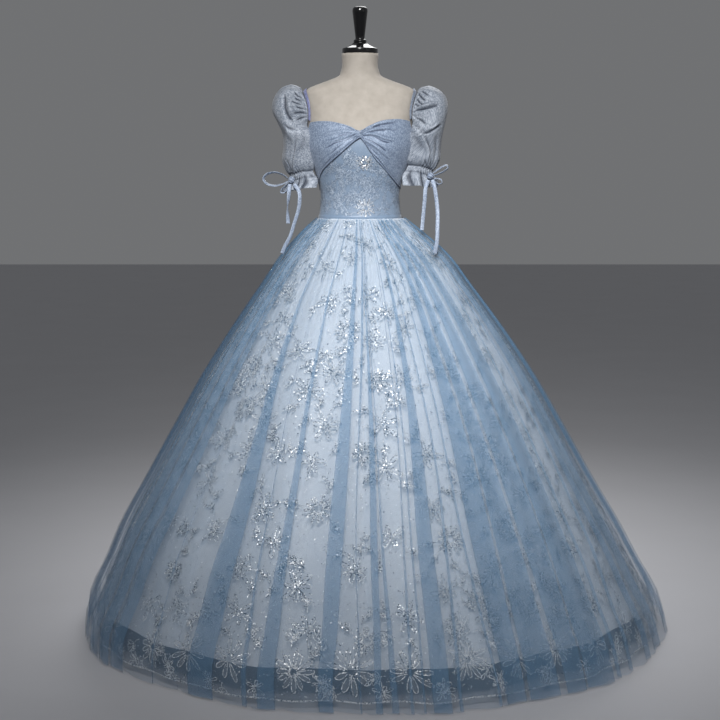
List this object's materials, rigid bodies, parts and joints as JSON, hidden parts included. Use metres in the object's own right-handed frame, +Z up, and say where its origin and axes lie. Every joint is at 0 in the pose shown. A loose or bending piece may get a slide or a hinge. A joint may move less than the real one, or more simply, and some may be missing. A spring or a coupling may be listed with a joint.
{
  "type": "ball gown on a limbless dress form",
  "caption": "Full-skirted ball gown with sweetheart twist cups, tied puff sleeves and layered tulle, worn by a limbless dress form on a round stand.",
  "frame": {"origin": "on the floor, at the centre of the underside of the stand's base", "axes": "+Z up; the gown faces -Y; +X is its wearer's left"},
  "size_m": [1.6575, 1.6475, 1.727],
  "materials": {
    "linen": "cream linen stretched over the form, matt",
    "black_gloss": "black gloss lacquer",
    "steel": "brushed",
    "satin": "dusty blue satin under glitter tulle, soft sheen",
    "lurex_mesh": "grey-blue mesh woven with metallic yarn, fine glitter",
    "violet_strap": "violet-blue folded mesh",
    "tulle": "sheer dusty blue tulle, matt",
    "glitter_tulle": "sheer tulle with silver glitter flowers",
    "white_satin": "white satin, soft sheen"
  },
  "bodies": {
    "root": {"form_torso": "linen", "form_neck_cap": "black_gloss", "form_handle": "black_gloss", "stand_pole": "steel", "stand_base": "black_gloss", "bodice_front": "satin", "bodice_back_right": "satin", "bodice_back_left": "satin", "bodice_zip": "satin", "bodice_cup_right": "lurex_mesh", "bodice_cup_left": "lurex_mesh", "strap_right": "violet_strap", "strap_left": "violet_strap", "sleeve_right": "lurex_mesh", "sleeve_left": "lurex_mesh", "drawstring_knot_right": "lurex_mesh", "drawstring_knot_left": "lurex_mesh", "drawstring_loop_right_large": "lurex_mesh", "drawstring_loop_right_small": "lurex_mesh", "drawstring_loop_left_large": "lurex_mesh", "drawstring_loop_left_small": "lurex_mesh", "drawstring_tail_right_outer": "lurex_mesh", "drawstring_tail_right_inner": "lurex_mesh", "drawstring_tail_left_inner": "lurex_mesh", "drawstring_tail_left_outer": "lurex_mesh", "skirt_outer": "tulle", "skirt_glitter": "glitter_tulle", "skirt_lining": "white_satin"}
  },
  "joints": []
}
